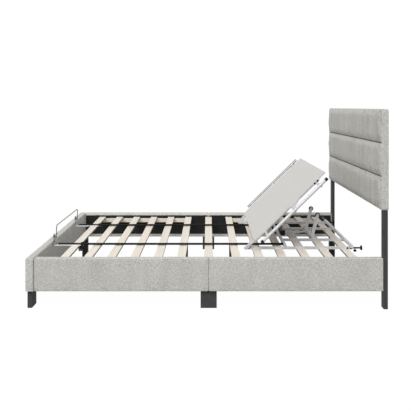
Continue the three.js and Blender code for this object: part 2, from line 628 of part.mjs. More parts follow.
function crankBody() {
  const torqueEnd = INNER_TUBE_Y - TUBE / 2 - LUG_THICKNESS - TORQUE_END_GAP;
  const pieces = [crossCylinder(TORQUE_CORE_RADIUS, -TORQUE_CORE_HALF - 2, TORQUE_CORE_HALF + 2, 0, 0, 16)];
  const tools = [];
  const horn = linkShape(HORN_LENGTH, HORN_ANGLE, HORN_RADIUS, HORN_RADIUS);
  pieces.push(crossPlate(horn, -HORN_HALF_THICKNESS, HORN_HALF_THICKNESS));
  for (const [, side] of SIDES) {
    pieces.push(crossCylinder(TORQUE_RADIUS, side * TORQUE_CORE_HALF, side * torqueEnd));
    const boreEnd = torqueEnd - TORQUE_BORE_DEPTH;
    const boreRadius = CRANK_STUD_RADIUS + RUNNING_CLEARANCE;
    tools.push(crossCylinder(boreRadius, side * boreEnd, side * (torqueEnd + 1), 0, 0, 16));
    const y = side * CRANK_ARM_Y;
    const half = CRANK_ARM_THICKNESS / 2;
    const arm = linkShape(CRANK_ARM, 0, CRANK_ARM_RADIUS, CRANK_ARM_RADIUS - 1);
    pieces.push(crossPlate(arm, y - half, y + half));
    const slotStart = CRANK_ARM - ROLLER_RADIUS - 1;
    const slotHalf = ROLLER_SLOT / 2;
    const slotEnd = CRANK_ARM + CRANK_ARM_RADIUS;
    const slotTop = CRANK_ARM_RADIUS + 1;
    tools.push(block(slotStart, slotEnd, y - slotHalf, y + slotHalf, -slotTop, slotTop));
  }
  const body = cut(join(pieces), tools);
  const axles = SIDES.map(([, side]) => {
    const y = side * CRANK_ARM_Y;
    const half = CRANK_ARM_THICKNESS / 2 - 1;
    return crossCylinder(ROLLER_AXLE_RADIUS, y - half, y + half, CRANK_ARM, 0, 16);
  });
  return join([body, ...axles]);
}

function roller(side) {
  const y = side * CRANK_ARM_Y;
  const half = ROLLER_WIDTH / 2;
  const disc = crossCylinder(ROLLER_RADIUS, y - half, y + half, CRANK_ARM, 0, 32);
  const boreRadius = ROLLER_AXLE_RADIUS + RUNNING_CLEARANCE;
  const bore = crossCylinder(boreRadius, y - half - 1, y + half + 1, CRANK_ARM, 0, 16);
  return cut(disc, [bore]);
}

// The actuator pushes the crank's horn. Its group starts where the tube leaves the gearbox, with X
// along the rod, so that the rod's fork ends beside the horn.
function actuator(parent) {
  const x = GEARBOX_X + GEARBOX_LENGTH;
  const z = SLAT_TOP + ACTUATOR_RISE;
  const turn = THREE.MathUtils.degToRad(CRANK_ANGLE + HORN_ANGLE);
  const forkX = CRANK_X + HORN_LENGTH * Math.cos(turn);
  const forkZ = CRANK_Z + HORN_LENGTH * Math.sin(turn);
  const group = new THREE.Group();
  group.position.set(x, 0, z);
  group.rotation.y = -Math.atan2(forkZ - z, forkX - x);
  parent.add(group);
  const reach = Math.hypot(forkX - x, forkZ - z);
  const tubeEnd = 1 + ACTUATOR_TUBE_LENGTH;
  const boreRadius = ROD_RADIUS + ACTUATOR_BORE_CLEARANCE;
  const tube = longCylinder(ACTUATOR_TUBE_RADIUS, 1, tubeEnd);
  const bore = longCylinder(boreRadius, tubeEnd - ACTUATOR_BORE_DEPTH, tubeEnd + 1);
  place(group, "actuator_tube", cut(tube, [bore]), silverSteel);
  place(group, "actuator_rod", actuatorRod(tubeEnd - ROD_HIDDEN_LENGTH, reach), silverSteel);
  place(parent, "actuator_motor", actuatorMotor(), blackPlastic);
}

function actuatorRod(start, reach) {
  const rodEnd = reach - ROD_FORK_LENGTH;
  const outside = ROD_FORK_GAP + ROD_FORK_THICKNESS;
  const pieces = [
    longCylinder(ROD_RADIUS, start, rodEnd),
    block(rodEnd - 4, rodEnd, -outside, outside, -HORN_RADIUS, HORN_RADIUS),
  ];
  for (const [, side] of SIDES) {
    const prong = crossPlate(
      linkShape(ROD_FORK_LENGTH + 2, 180, HORN_RADIUS, HORN_RADIUS),
      side > 0 ? ROD_FORK_GAP : -outside,
      side > 0 ? outside : -ROD_FORK_GAP,
    );
    pieces.push(prong.translate(reach, 0, 0));
  }
  return join(pieces);
}

function actuatorMotor() {
  const bottom = SLAT_TOP + ABOVE_SLATS;
  const x1 = GEARBOX_X + GEARBOX_LENGTH;
  const w = GEARBOX_HALF_WIDTH;
  const gearbox = block(GEARBOX_X, x1, -w, w, bottom, bottom + GEARBOX_HEIGHT);
  const motorX = GEARBOX_X + GEARBOX_LENGTH / 2;
  const motorZ = bottom + MOTOR_RADIUS;
  const motor = crossCylinder(MOTOR_RADIUS, w - 2, w + MOTOR_LENGTH, motorX, motorZ);
  return join([gearbox, motor]);
}

// Rubber bumpers on screws stand out of the outer tubes towards the headboard.
function bumpers(parent) {
  const x0 = FRAME_HEAD + CLEARANCE;
  const x1 = x0 + BUMPER_STEM_LENGTH;
  const z = FRAME_BOTTOM + TUBE / 2;
  for (const [label, side] of SIDES) {
    const y = side * OUTER_TUBE_Y;
    const stem = longCylinder(BUMPER_STEM_RADIUS, x0, x1 + 1, y, z, 16);
    const disc = longCylinder(BUMPER_DISC_RADIUS, x1, x1 + BUMPER_DISC_THICKNESS, y, z);
    place(parent, "bumper_" + label, join([stem, disc]), blackPlastic);
  }
}

// ---- the whole bed ------------------------------------------------------------------------------
const bed = new THREE.Group();
for (const [label, side] of SIDES) {
  sideRailHalf(bed, label + "_foot", side, FOOT_IN + CLEARANCE, RAIL_MIDDLE - CLEARANCE / 2);
  sideRailHalf(bed, label + "_head", side, RAIL_MIDDLE + CLEARANCE / 2, RAIL_END - CLEARANCE);
}
footRail(bed);
headboard(bed);
headLegs(bed);
blockLegs(bed);
ledgersAndPlates(bed);
slats(bed);
supportLegs(bed);
baseFrame(bed);
extensionBars(bed);
footStop(bed);
headPanel(bed);
liftCrank(bed);
actuator(bed);
bumpers(bed);

export default bed;
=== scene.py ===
# %% [markdown]
# # An upholstered bed with a powered head panel
# This lesson dresses a finished mechanical model of an adjustable bed base. The frame, the slats,
# the tubes and the joints come from the CAD model and stay exactly where they are. What is made
# here is what a buyer sees first: the padded linen covers, the puffed headboard, the grain of the
# birch, the painted steel, and the small caps, bolts and staples.

# %% Load the frame
import json
import math

import bmesh
import bpy
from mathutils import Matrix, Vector, noise


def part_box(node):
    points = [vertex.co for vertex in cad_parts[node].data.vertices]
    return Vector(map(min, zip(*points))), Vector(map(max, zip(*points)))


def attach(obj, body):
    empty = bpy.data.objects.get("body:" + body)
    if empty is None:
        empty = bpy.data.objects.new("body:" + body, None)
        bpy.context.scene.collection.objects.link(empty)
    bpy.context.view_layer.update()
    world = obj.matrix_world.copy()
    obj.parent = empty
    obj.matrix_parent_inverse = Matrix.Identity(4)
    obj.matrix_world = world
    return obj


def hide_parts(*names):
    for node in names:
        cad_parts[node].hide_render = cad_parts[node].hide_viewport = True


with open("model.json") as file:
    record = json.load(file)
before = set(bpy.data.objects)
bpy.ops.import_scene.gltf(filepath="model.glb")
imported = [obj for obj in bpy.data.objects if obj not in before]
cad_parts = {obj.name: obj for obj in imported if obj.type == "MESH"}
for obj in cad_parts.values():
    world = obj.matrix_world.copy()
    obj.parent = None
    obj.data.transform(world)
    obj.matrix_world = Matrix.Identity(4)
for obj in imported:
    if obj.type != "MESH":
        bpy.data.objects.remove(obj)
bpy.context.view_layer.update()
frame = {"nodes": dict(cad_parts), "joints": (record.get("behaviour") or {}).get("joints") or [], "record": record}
nodes = frame["nodes"]
joints = {joint["name"]: joint for joint in frame["joints"]}
scene = bpy.context.scene
MM = 0.001

# %% [markdown]
# ## Camera
# The bed is seen square from its long side, from a standing person's eye height, with the lens
# shifted down instead of tilted so that the legs and the headboard stay upright.

# %% Camera
camera_data = bpy.data.cameras.new("camera")
camera_data.lens = 55.47
camera_data.sensor_width = 36
camera_data.shift_y = -0.244
camera_data.clip_end = 200
camera = bpy.data.objects.new("camera", camera_data)
camera.location = (0.006, -4.590, 1.193)
camera.rotation_euler = (math.radians(90), 0, 0)
scene.collection.objects.link(camera)
scene.camera = camera
print("camera at", tuple(round(v, 3) for v in camera.location))

# %% [markdown]
# ## Shader maths in plain expressions
# A material is a graph of nodes, which is hard to read as code. The class below wraps one output
# socket, so that sums, products and differences can be written as ordinary expressions, and each
# expression adds its own Math nodes. Every other kind of node comes from its one method `node`.


# %% One socket that can be used in arithmetic
def find_socket(sockets, key):
    if isinstance(key, int):
        return sockets[key]
    return next(s for s in sockets if s.name == key and s.enabled)


def feed(tree, socket, value):
    if isinstance(value, Field):
        tree.links.new(value.socket, socket)
    else:
        socket.default_value = value


class Field:
    """A value that changes over a surface."""

    def __init__(self, tree, socket=None):
        self.tree = tree
        self.socket = socket

    def node(self, kind, settings=None, inputs=None, output=0):
        made = self.tree.nodes.new(kind)
        for name, value in (settings or {}).items():
            setattr(made, name, value)
        for key, value in (inputs or {}).items():
            feed(self.tree, find_socket(made.inputs, key), value)
        return Field(self.tree, find_socket(made.outputs, output))

    def math(self, operation, first, second=0.0, clamp=False):
        settings = {"operation": operation, "use_clamp": clamp}
        return self.node("ShaderNodeMath", settings, {0: first, 1: second})

    def __add__(self, other):
        return self.math("ADD", self, other)

    def __sub__(self, other):
        return self.math("SUBTRACT", self, other)

    def __rsub__(self, other):
        return self.math("SUBTRACT", other, self)

    def __mul__(self, other):
        return self.math("MULTIPLY", self, other)

    __radd__ = __add__
    __rmul__ = __mul__

    def __abs__(self):
        return self.math("ABSOLUTE", self)

    def sine(self):
        return self.math("SINE", self)

    def limited(self):
        return self.math("ADD", self, 0.0, clamp=True)

    def part(self, axis):
        return self.node("ShaderNodeSeparateXYZ", inputs={0: self}, output=axis)

    def stretched(self, x, y, z):
        settings = {"operation": "MULTIPLY"}
        return self.node("ShaderNodeVectorMath", settings, {0: self, 1: (x, y, z)})

    def vector(self, x, y, z):
        return self.node("ShaderNodeCombineXYZ", inputs={0: x, 1: y, 2: z})

    def speckle(self, scale=1.0, detail=2.0):
        inputs = {"Vector": self, "Scale": scale, "Detail": detail}
        return self.node("ShaderNodeTexNoise", inputs=inputs, output="Fac")

    def between(self, low, high):
        inputs = {"Factor": self, "A": low, "B": high}
        return self.node("ShaderNodeMix", {"data_type": "RGBA"}, inputs, "Result")

    def bump(self, distance, strength=1.0):
        inputs = {"Height": self, "Distance": distance, "Strength": strength}
        return self.node("ShaderNodeBump", inputs=inputs)


# %% [markdown]
# ## From a recipe to a finish
# Each finish is a small function that is given the place on the piece and the way its surface
# faces, and returns what varies. Whatever is the same all over is set straight on the shader.


# %% Make a finish from its recipe
def srgb(red, green, blue):
    def linear(level):
        level = level / 255
        return level / 12.92 if level < 0.04045 else ((level + 0.055) / 1.055) ** 2.4

    return (linear(red), linear(green), linear(blue), 1.0)


finishes = {}


def make_finish(name, recipe, metallic=0.0, specular=0.5, sheen=0.0):
    made = bpy.data.materials.new(name)
    made.use_nodes = True
    shader = made.node_tree.nodes["Principled BSDF"]
    shader.inputs["Metallic"].default_value = metallic
    shader.inputs["Specular IOR Level"].default_value = specular
    shader.inputs["Sheen Weight"].default_value = sheen
    shader.inputs["Sheen Roughness"].default_value = 0.6
    start = Field(made.node_tree)
    place = start.node("ShaderNodeTexCoord", output="Object")
    facing = start.node("ShaderNodeTexCoord", output="Normal")
    varying = recipe(place, facing)
    for socket, value in varying.items():
        feed(made.node_tree, shader.inputs[socket], value)
    finishes[name] = made
    print("finish:", name, "with", len(made.node_tree.nodes), "nodes")
    return made


# %% [markdown]
# ## Linen
# The covers are a heathered linen: pale and grey threads spun together, with thicker slubs that
# run along both directions of the weave. On every face the weave needs two directions that lie in
# that face, so the recipe works out `along` and `across` from the way the surface faces. Noise
# stretched one way gives the weft, the other way the warp, and round noise the heathering. Where
# the side covers meet the foot rail the cloth is tucked in, and painted shade darkens it there.


# %% Linen
LINEN_DARK = srgb(146, 144, 138)
LINEN_LIGHT = srgb(226, 225, 220)
# The colour of the painted shade where the side covers meet the foot rail.
LINEN_CORNER_SHADE = srgb(120, 118, 113)
THREAD = 2 * math.pi / (2.2 * MM)
CORNER_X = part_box("rail_cover_foot")[1].x
OUTER_FACE_Y = 781 * MM
# How far the painted shade at the foot corners reaches, how strong its core is and how much of it is mixed in.
CORNER_SHADE_REACH = 9 * MM
CORNER_SHADE_CORE = 1.6
CORNER_SHADE_MIX = 0.28
CRISP = 400


def linen(band_strength):
    def recipe(place, facing):
        level = ((abs(facing.part("Z")) - 0.6) * 5).limited()
        x, y, z = place.part("X"), place.part("Y"), place.part("Z")
        # Painted shade: the outer faces of the cloth darken within a few millimetres of the foot corners.
        corner_shade = (CORNER_SHADE_CORE - abs(x - CORNER_X) * (CORNER_SHADE_CORE / CORNER_SHADE_REACH)).limited()
        corner_shade = corner_shade * ((abs(y) - OUTER_FACE_Y) * CRISP).limited()
        along = x + y * (1 - level)
        across = z + (y - z) * level
        weft = place.vector(along * 60, across * 360, 0.0).speckle()
        warp = place.vector(along * 360, across * 60, 3.0).speckle()
        heather = place.speckle(135, 3)
        broad = place.vector(along * 20, across * 1.6, 7.0).speckle(1, 1)
        patch = place.speckle(9, 1)
        tone = (heather - 0.5) * 1.05 + (weft + warp - 1.0) * 0.85
        tone = tone + (broad - 0.5) * band_strength + (patch - 0.5) * 0.2 + 0.5
        weave = (along * THREAD).sine() * (across * THREAD).sine()
        height = weave * 0.35 + (weft + warp) * 0.8 + heather * 0.4
        cloth = tone.limited().between(LINEN_DARK, LINEN_LIGHT)
        return {
            "Base Color": (corner_shade * CORNER_SHADE_MIX).between(cloth, LINEN_CORNER_SHADE),
            "Roughness": 0.84 + weft * 0.12,
            "Normal": height.bump(0.0005, 0.55),
        }

    return recipe


# Painted shade: the seam cord is coloured far darker than the linen, standing in for the shadow deep in each seam.
def seam_shade_cord(place, facing):
    twist = place.stretched(300, 900, 300).speckle(1, 2)
    return {
        "Base Color": twist.between(srgb(58, 57, 54), srgb(96, 94, 90)),
        "Roughness": 0.85 + twist * 0.1,
        "Normal": twist.bump(0.0003, 0.5),
    }


make_finish("linen", linen(0.2), specular=0.15, sheen=0.12)
# The headboard's cover takes stronger broad bands: faint lighter and darker stripes down its front.
make_finish("linen_headboard", linen(0.42), specular=0.15, sheen=0.12)
make_finish("seam", seam_shade_cord, specular=0.15)

# %% [markdown]
# ## Lining, legs and boards
# The inside of the rails and the back of the headboard are faced with a thin black non-woven
# cloth, which is pressed in a pattern of tiny dots. The block legs are stained black, with the
# wood's grain just showing. The head board is a pale grey laminate with a fine fleck.


# %% Lining, leg and laminate
DOT_PITCH = 1400


def black_lining(place, facing):
    fibre = place.speckle(900, 2)
    cloud = place.speckle(14, 2)
    dots = (place.part("X") * DOT_PITCH).sine() * (place.part("Z") * DOT_PITCH).sine()
    tone = (fibre * 0.5 + cloud * 0.8 - 0.15).limited()
    return {
        "Base Color": tone.between(srgb(20, 20, 20), srgb(50, 49, 48)),
        "Roughness": 0.8 + fibre * 0.15,
        "Normal": (dots * 0.4 + fibre).bump(0.0003, 0.4),
    }


def black_leg(place, facing):
    grain = place.stretched(260, 260, 16).speckle(1, 4)
    rub = place.speckle(30, 3)
    tone = (grain * 0.7 + rub * 0.5 - 0.1).limited()
    return {
        "Base Color": tone.between(srgb(52, 52, 53), srgb(76, 76, 77)),
        "Roughness": 0.45 + grain * 0.25,
        "Normal": grain.bump(0.0004, 0.35),
    }


def grey_laminate(place, facing):
    fleck = place.speckle(850, 2)
    cloud = place.speckle(6, 2)
    tone = (fleck * 1.3 - 0.35 + cloud * 0.25).limited()
    return {
        "Base Color": tone.between(srgb(196, 195, 192), srgb(221, 220, 217)),
        "Roughness": 0.42 + fleck * 0.2,
        "Normal": fleck.bump(0.0002, 0.3),
    }


make_finish("lining", black_lining, specular=0.2)
make_finish("leg_block", black_leg, specular=0.3)
make_finish("panel_board", grey_laminate, specular=0.35)

# %% [markdown]
# ## Birch
# The slats are birch plywood. The grain runs along each slat, so the noise is stretched along Y
# there and along X on the ledgers that carry them. A slow noise along the bed gives every slat its
# own tint. Painted light and shade make the wood lighter at the near side and darker at the far side.
# The sides show the plies as thin brown layers, partly their own colour and partly painted shade.


# %% Birch plywood
PLY_PITCH = 2600


def birch(grain_scale, edge_axis):
    def recipe(place, facing):
        edge = ((abs(facing.part(edge_axis)) - 0.55) * 5).limited()
        grain = place.stretched(*grain_scale).speckle(1, 5)
        figure = place.stretched(*(value / 7 for value in grain_scale)).speckle(1, 2)
        tint = place.stretched(6.3, 0.4, 0.4).speckle(1, 0)
        # Painted light and shade: the wood is lighter at the near side and darker towards the far side.
        fade = place.part("Y") * 0.2
        tone = (grain - 0.5) * 1.1 + (figure - 0.5) * 0.9 + 0.55 - fade
        top = tone.limited().between(srgb(216, 207, 192), srgb(240, 235, 225))
        warm = ((tint - 0.42) * 2.6).limited()
        top = (warm * 0.45).between(top, srgb(232, 214, 200))
        plies = ((place.part("Z") * PLY_PITCH).sine() * 0.5 + 0.5) * 0.7 + grain * 0.3
        # The sides' brown is partly the plies' own colour and partly painted shade.
        side_plies_and_shade = plies.between(srgb(122, 102, 84), srgb(170, 152, 130))
        return {
            "Base Color": edge.between(top, side_plies_and_shade),
            "Roughness": 0.5 + grain * 0.25,
            "Normal": grain.bump(0.0003, 0.35),
        }

    return recipe


make_finish("birch_slat", birch((210, 7, 210), "X"), specular=0.3)
make_finish("birch_ledger", birch((7, 210, 210), "X"), specular=0.3)

# %% [markdown]
# ## Painted steel, plastic and rubber
# The mechanism is powder coated: silver on the lifting frame, with a brighter coat on the crank
# that is painted light and a greyer one on the far wing tube that is painted shade, and black on
# the extension bars. The wire and the plates of the foot stop are zinc. Powder coat has a faint
# orange peel, so its bump is a soft noise a few millimetres across. Moulded plastic has a finer grain, and rubber
# is dull.


# %% Steel, plastic and rubber
def powder_coat(dark, light, roughness):
    def recipe(place, facing):
        peel = place.speckle(420, 2)
        cloud = place.speckle(22, 3)
        tone = (cloud * 0.9 + peel * 0.5 - 0.2).limited()
        return {
            "Base Color": tone.between(dark, light),
            "Roughness": roughness + (cloud - 0.5) * 0.2,
            "Normal": peel.bump(0.0002, 0.3),
        }

    return recipe


def moulded(dark, light, roughness, grain):
    def recipe(place, facing):
        pits = place.speckle(grain, 3)
        scuff = place.stretched(60, 18, 60).speckle(1, 4)
        tone = (scuff * 1.2 + pits * 0.3 - 0.35).limited()
        return {
            "Base Color": tone.between(dark, light),
            "Roughness": roughness + (pits - 0.5) * 0.2,
            "Normal": pits.bump(0.0002, 0.35),
        }

    return recipe


def panel_paint_far_shade(place, facing):
    varying = silver_paint(place, facing)
    # Painted shade: the far wing tube and its plugs are coloured a darker grey than the rest of the frame's
    # silver.
    far_tube_shade = ((place.part("Y") - FAR_TUBE_Y) * CRISP).limited()
    varying["Base Color"] = far_tube_shade.between(varying["Base Color"], srgb(118, 117, 118))
    return varying


FAR_TUBE_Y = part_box("panel_frame")[1].y - 18.5 * MM
silver_paint = powder_coat(srgb(200, 200, 203), srgb(224, 224, 226), 0.32)
black_paint = powder_coat(srgb(16, 16, 17), srgb(34, 34, 35), 0.42)
make_finish("silver_steel", silver_paint, metallic=0.1, specular=0.6)
make_finish("panel_steel_far_shade", panel_paint_far_shade, metallic=0.1, specular=0.6)
# Painted light: the crank's coat is brighter than the frame's silver, standing in for the light the crank catches.
crank_paint_painted_light = powder_coat(srgb(224, 224, 227), srgb(243, 243, 245), 0.32)
make_finish("crank_steel_painted_light", crank_paint_painted_light, metallic=0.05, specular=0.6)
make_finish("zinc_steel", powder_coat(srgb(134, 134, 136), srgb(184, 184, 186), 0.35), metallic=0.3)
make_finish("wire_steel", powder_coat(srgb(112, 112, 115), srgb(150, 150, 153), 0.3), metallic=0.3)
make_finish("bar_steel", powder_coat(srgb(5, 5, 5), srgb(15, 15, 15), 0.5), specular=0.2)
make_finish("black_steel", black_paint, specular=0.35)
make_finish("leg_steel", powder_coat(srgb(50, 50, 51), srgb(72, 72, 73), 0.45), specular=0.35)
make_finish("black_plastic", moulded(srgb(14, 14, 14), srgb(34, 34, 35), 0.5, 1500), specular=0.3)
make_finish("rubber", moulded(srgb(12, 12, 12), srgb(30, 30, 30), 0.75, 900), specular=0.2)

# %% [markdown]
# ## Dress the hard parts
# Every CAD part keeps its mesh and takes the finish of its own slot in the record, or, for the parts
# listed in OWN_FINISHES, a finish of their own. Real tubes and boards never have knife edges, so a Weld
# and a Bevel modifier round them by a fraction of a millimetre to two millimetres, which lets the
# edges catch the light.

# %% Finish and bevel the CAD parts
BEVELS = {"birch": 1.2, "leg_block": 1.6, "panel_board": 0.8, "lining": 0.8}
OWN_FINISHES = {
    "head_leg": "leg_steel",
    "panel_frame": "panel_steel_far_shade",
    "extension_bar": "bar_steel",
    # The crank and the foot stop's bracket take the brighter coat, which is painted light.
    "lift_crank": "crank_steel_painted_light",
    "stop_bracket": "crank_steel_painted_light",
    "retainer_wire": "wire_steel",
    "slat": "birch_slat",
    "ledger": "birch_ledger",
}
slot_of = {}
for entry in frame["record"]["materials"]:
    for name in entry.get("nodes", []):
        slot_of[name] = entry["slot"]
for name, part in nodes.items():
    part_slot = slot_of.get(name) or part.data.materials[0].name
    finish_name = part_slot
    for start, own_finish in OWN_FINISHES.items():
        if name.startswith(start):
            finish_name = own_finish
    for index in range(len(part.data.materials)):
        part.data.materials[index] = finishes[finish_name]
    weld = part.modifiers.new("weld", "WELD")
    weld.merge_threshold = 0.01 * MM
    bevel = part.modifiers.new("soft_edges", "BEVEL")
    bevel.width = BEVELS.get(part_slot, 0.6) * MM
    bevel.segments = 2
    bevel.limit_method = "ANGLE"
    bevel.angle_limit = math.radians(40)
    bevel.harden_normals = True
print("dressed", len(nodes), "parts")

# %% [markdown]
# ## A workpiece that grows from simple strokes
# The covers and the trim are all swept or turned forms. `Workpiece` collects points and faces:
# `sweep` joins a list of rings into a skin, `turn` spins a profile round an axis, and `prism`
# pulls an outline along a line. `deliver` makes one Blender object of it, on its CAD body.


# %% The workpiece
class Workpiece:
    def __init__(self):
        self.points = []
        self.faces = []

    def sweep(self, rings, closed=False, caps=True):
        first = len(self.points)
        size = len(rings[0])
        for ring in rings:
            self.points.extend(Vector(point) for point in ring)
        steps = len(rings) if closed else len(rings) - 1
        for i in range(steps):
            here = first + i * size
            there = first + ((i + 1) % len(rings)) * size
            for k in range(size):
                nxt = (k + 1) % size
                self.faces.append((here + k, here + nxt, there + nxt, there + k))
        if caps and not closed:
            last = first + (len(rings) - 1) * size
            self.faces.append(tuple(range(first + size - 1, first - 1, -1)))
            self.faces.append(tuple(range(last, last + size)))
        return self

    def turn(self, profile, start, direction, sides=24):
        axis = Vector(direction).normalized()
        side = axis.orthogonal().normalized()
        up = axis.cross(side)
        rings = []
        for along, radius in profile:
            centre = Vector(start) + axis * along
            ring = []
            for k in range(sides):
                turn = 2 * math.pi * k / sides
                ring.append(centre + (side * math.cos(turn) + up * math.sin(turn)) * radius)
            rings.append(ring)
        return self.sweep(rings)

    def prism(self, outline, start, right, up, pull):
        right, up, pull = Vector(right), Vector(up), Vector(pull)
        ring = [Vector(start) + right * a + up * b for a, b in outline]
        return self.sweep([ring, [point + pull for point in ring]])

    def deliver(self, name, body, slot, finish=None, bevel=0.0):
        mesh = bpy.data.meshes.new(name)
        mesh.from_pydata(self.points, [], self.faces)
        shape = bmesh.new()
        shape.from_mesh(mesh)
        bmesh.ops.remove_doubles(shape, verts=shape.verts, dist=1e-6)
        bmesh.ops.recalc_face_normals(shape, faces=shape.faces)
        shape.to_mesh(mesh)
        shape.free()
        mesh.polygons.foreach_set("use_smooth", [True] * len(mesh.polygons))
        mesh.set_sharp_from_angle(angle=math.radians(38))
        mesh.materials.append(finishes[finish or slot])
        piece = bpy.data.objects.new(name, mesh)
        scene.collection.objects.link(piece)
        if bevel:
            rounding = piece.modifiers.new("soft_edges", "BEVEL")
            rounding.width = bevel
            rounding.segments = 2
            rounding.limit_method = "ANGLE"
            rounding.angle_limit = math.radians(50)
            rounding.harden_normals = True
        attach(piece, body)
        print("made", name, "with", len(mesh.polygons), "faces")
        return piece


# %% [markdown]
# ## Rounded outlines
# A cover's section is a polygon whose corners are rounded as much as the foam allows. This helper
# takes the corners with a radius each and returns points close enough together that the padding
# can be pushed about afterwards.


# %% Outline with rounded corners
def rounded_outline(corners, spacing, turns=4):
    outline = []
    count = len(corners)
    for i in range(count):
        a, b, radius = corners[i]
        here = Vector((a, b))
        back = (Vector(corners[i - 1][:2]) - here).normalized()
        ahead = (Vector(corners[(i + 1) % count][:2]) - here).normalized()
        if radius <= 0:
            outline.append(here)
            continue
        centre = here + (back + ahead) * radius
        for k in range(turns + 1):
            angle = math.pi / 2 * k / turns
            swing = ahead * math.cos(angle) + back * math.sin(angle)
            outline.append(centre - swing * radius)
    return spread_points(outline, spacing)


def spread_points(outline, spacing):
    spread = []
    for i, point in enumerate(outline):
        following = outline[(i + 1) % len(outline)]
        pieces = max(1, round((following - point).length / spacing))
        for k in range(pieces):
            spread.append(point.lerp(following, k / pieces))
    return spread


# %% [markdown]
# ## Soft surfaces are never flat
# Foam under cloth swells a little between its edges, and the cloth lies in long shallow waves. The
# waves come from smooth noise, which gives the same result on every run.


# %% Waves in the cloth
def ripple(point, size, seed):
    return noise.noise(Vector(point) / size + Vector((seed, 0, 0)))


# %% [markdown]
# ## The rail covers
# A side rail is a board with foam on its outer face, wrapped in linen that folds over the top and
# the bottom and is stapled inside. Its section is a C whose mouth holds the board. The cover is
# swept from end to end: near each end the rings shrink in a quarter circle, which rounds the ends,
# and the mouth closes so that cloth covers the end of the board.


# %% Rings along a cover
END_ROUND = 10 * MM
END_STEPS = 6
RING_SPACING = 22 * MM
SOFT_END = 60 * MM


def cover_stations(length, end_pad):
    """Places along a cover, each with how far its ring shrinks to round the end."""
    near_end = []
    for k in range(END_STEPS):
        turn = math.pi / 2 * k / END_STEPS
        near_end.append((END_ROUND * (1 - math.cos(turn)), END_ROUND * (1 - math.sin(turn))))
    full = max(END_ROUND, end_pad)
    near_end += [(full, 0.0), (full + 0.2 * MM, 0.0)]
    steps = round((length / 2 - full) / RING_SPACING)
    for k in range(1, steps + 1):
        near_end.append((full + (length / 2 - full) * k / steps, 0.0))
    far_end = [(length - along, inset) for along, inset in reversed(near_end[:-1])]
    return near_end + far_end, full


def sweep_cover(section, in_mouth, shut, length, end_pad, place, puff, limit):
    """Sweeps a section of (depth, height) points; shut moves the mouth's points near the ends."""
    mouth = {index for index, point in enumerate(section) if in_mouth(*point)}
    stations, full = cover_stations(length, end_pad)
    rings = []
    for along, inset in stations:
        from_end = min(along, length - along)
        fade = min(1.0, from_end / SOFT_END)
        ring = []
        for index, (depth, height) in enumerate(section):
            if index not in mouth:
                depth, height = puff(along, depth, height, fade)
            elif from_end <= full:
                depth, height = shut(depth, height)
            ring.append(place(along, *limit(depth, height, inset)))
        rings.append(ring)
    return rings


def waves(along, depth, height, seed):
    broad = ripple((along, height * 0.6, depth), 0.13, seed)
    fine = ripple((along, height, depth), 0.045, seed + 5)
    return broad, fine


# %% [markdown]
# The four side rail covers take all their sizes from the cover and the board that the CAD model
# holds, so they fit round the board with no gap.

# %% Side rail covers
TOUCH = 0.3 * MM
NUDGE = 0.1 * MM


def side_rail(side, half, seed):
    low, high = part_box(f"rail_cover_{side}_{half}")
    board_low, board_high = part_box(f"rail_board_{side}_{half}")
    sign = -1 if side == "near" else 1
    inner = min(abs(low.y), abs(high.y))
    outer = max(abs(low.y), abs(high.y)) - inner
    pocket = max(abs(board_low.y), abs(board_high.y)) - inner + TOUCH
    bottom, top = low.z, high.z
    pocket_low, pocket_high = board_low.z - TOUCH, board_high.z + TOUCH
    corners = [
        (0, bottom, 2 * MM),
        (outer, bottom, 5 * MM),
        (outer, top, 5 * MM),
        (0, top, 14 * MM),
        (0, pocket_high, 0),
        (pocket, pocket_high, 0),
        (pocket, pocket_low, 0),
        (0, pocket_low, 0),
    ]

    def in_mouth(depth, height):
        return pocket_low - NUDGE <= height <= pocket_high + NUDGE and depth <= pocket + NUDGE

    def puff(along, depth, height, fade):
        rise = (height - bottom) / (top - bottom)
        broad, fine = waves(along, depth, height, seed)
        if depth > 2 * MM:
            crown = 5 * rise * (1 - rise) * fade
            depth += (crown + 0.9 * broad + 0.35 * fine) * MM * depth / outer
        if rise > 0.9:
            height += (0.7 * broad + 0.3 * fine) * MM * fade
        return depth, height

    def limit(depth, height, inset):
        height = min(max(height, bottom + inset), top + 0.5 * MM - inset)
        return min(depth, outer + 1.6 * MM - inset), height

    def place(along, depth, height):
        return (low.x + along, sign * (inner + depth), height)

    def shut(depth, height):
        return 0.0, height

    section = rounded_outline(corners, 14 * MM)
    rings = sweep_cover(section, in_mouth, shut, high.x - low.x, 5 * MM, place, puff, limit)
    piece = Workpiece().sweep(rings).deliver(f"linen_cover_{side}_{half}", "bed", "linen")
    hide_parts(f"rail_cover_{side}_{half}")


side_rail("near", "foot", 1.7)
side_rail("near", "head", 8.2)
side_rail("far", "foot", 15.1)
side_rail("far", "head", 23.4)


# %% [markdown]
# The foot rail is padded on both sides, since its inner face shows below the mattress, and its
# mouth opens downwards. Its cover is therefore an upside-down U.

